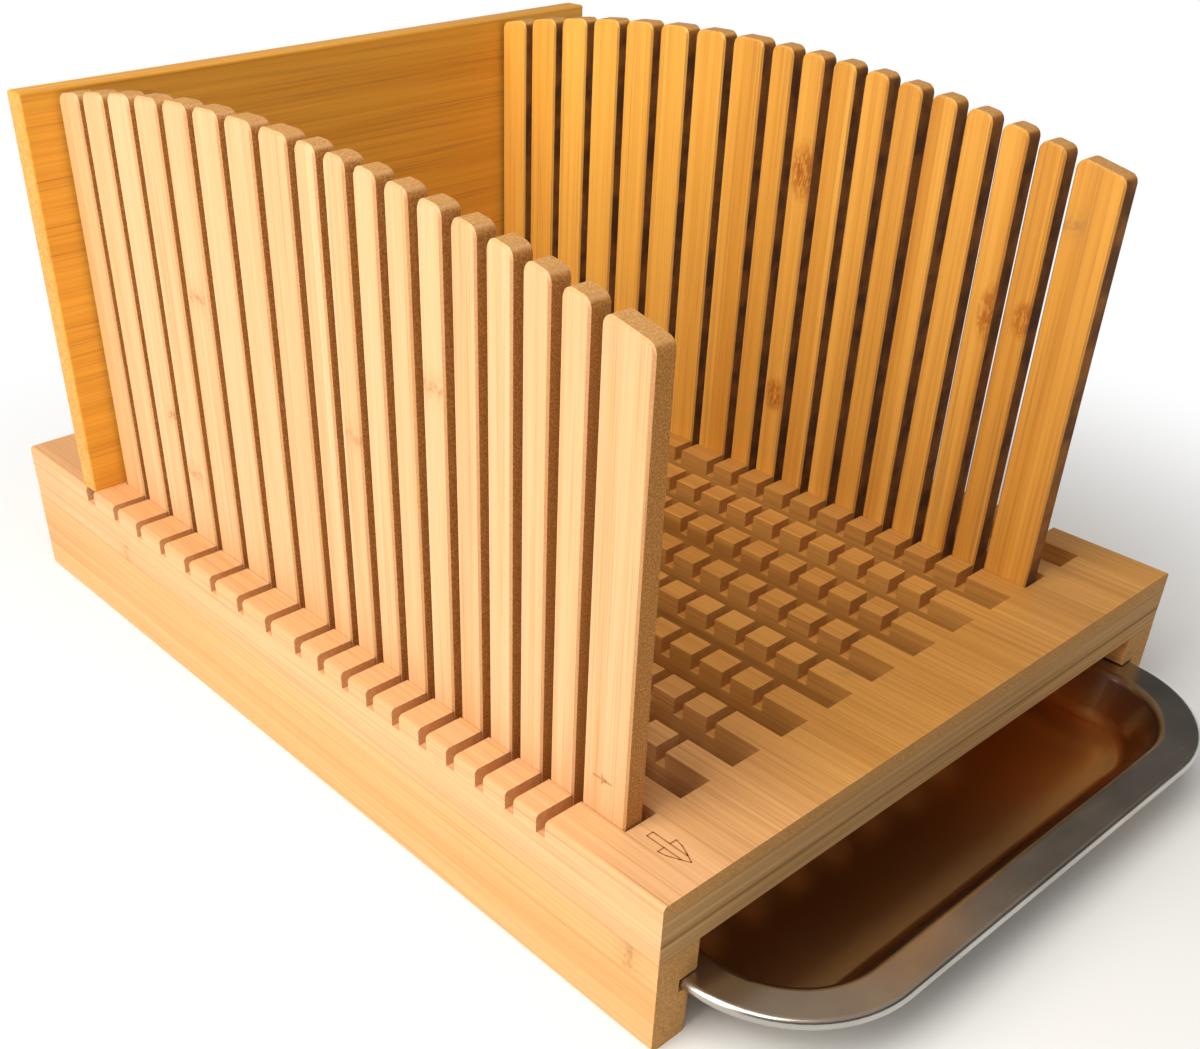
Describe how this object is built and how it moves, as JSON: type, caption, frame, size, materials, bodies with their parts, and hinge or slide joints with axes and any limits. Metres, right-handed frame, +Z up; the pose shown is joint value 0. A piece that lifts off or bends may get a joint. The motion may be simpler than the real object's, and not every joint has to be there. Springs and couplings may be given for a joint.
{
  "type": "bread slicer guide",
  "caption": "Bamboo bread slicer with two comb guides, a grooved and slotted deck, a back board and a steel crumb tray that slides out from under the deck.",
  "frame": {"origin": "on the worktop, in the middle of the box that holds the whole slicer with its crumb tray pulled out a little, as stored", "axes": "+Z up; +Y from the front, where the tray pulls out, to the back board; +X from the left guide to the right one"},
  "size_m": [0.186, 0.2924, 0.1518],
  "materials": {
    "deck_bamboo": "satin laminated bamboo, fine grain along the deck",
    "under_bamboo": "satin laminated bamboo",
    "rail_bamboo": "satin laminated bamboo",
    "guide_bamboo": "satin laminated bamboo, upright grain",
    "back_bamboo": "satin laminated bamboo, level grain",
    "dowel_wood": "plain, glued in",
    "tray_steel": "satin stainless steel with a bright rolled rim"
  },
  "bodies": {
    "base": {"deck_board": "deck_bamboo", "under_board": "under_bamboo", "left_side_rail": "rail_bamboo", "right_side_rail": "rail_bamboo", "rear_rail": "rail_bamboo", "left_rail_dowels": "dowel_wood", "right_rail_dowels": "dowel_wood", "rear_rail_dowels": "dowel_wood"},
    "tray": {"crumb_tray": "tray_steel"},
    "left_guide": {"left_guide_comb": "guide_bamboo", "left_guide_foot": "guide_bamboo"},
    "right_guide": {"right_guide_comb": "guide_bamboo", "right_guide_foot": "guide_bamboo"},
    "back_panel": {"back_board": "back_bamboo"}
  },
  "joints": [
    {"name": "tray_slide", "type": "slide", "parent": "base", "child": "tray", "axis": [0, -1, 0], "range_m": [-0.034, 0.156]},
    {"name": "left_guide_lift", "type": "slide", "parent": "base", "child": "left_guide", "axis": [0, 0, 1], "range_m": [0, 0.03]},
    {"name": "right_guide_lift", "type": "slide", "parent": "base", "child": "right_guide", "axis": [0, 0, 1], "range_m": [0, 0.03]},
    {"name": "back_board_lift", "type": "slide", "parent": "base", "child": "back_panel", "axis": [0, 0, 1], "range_m": [0, 0.03]}
  ]
}
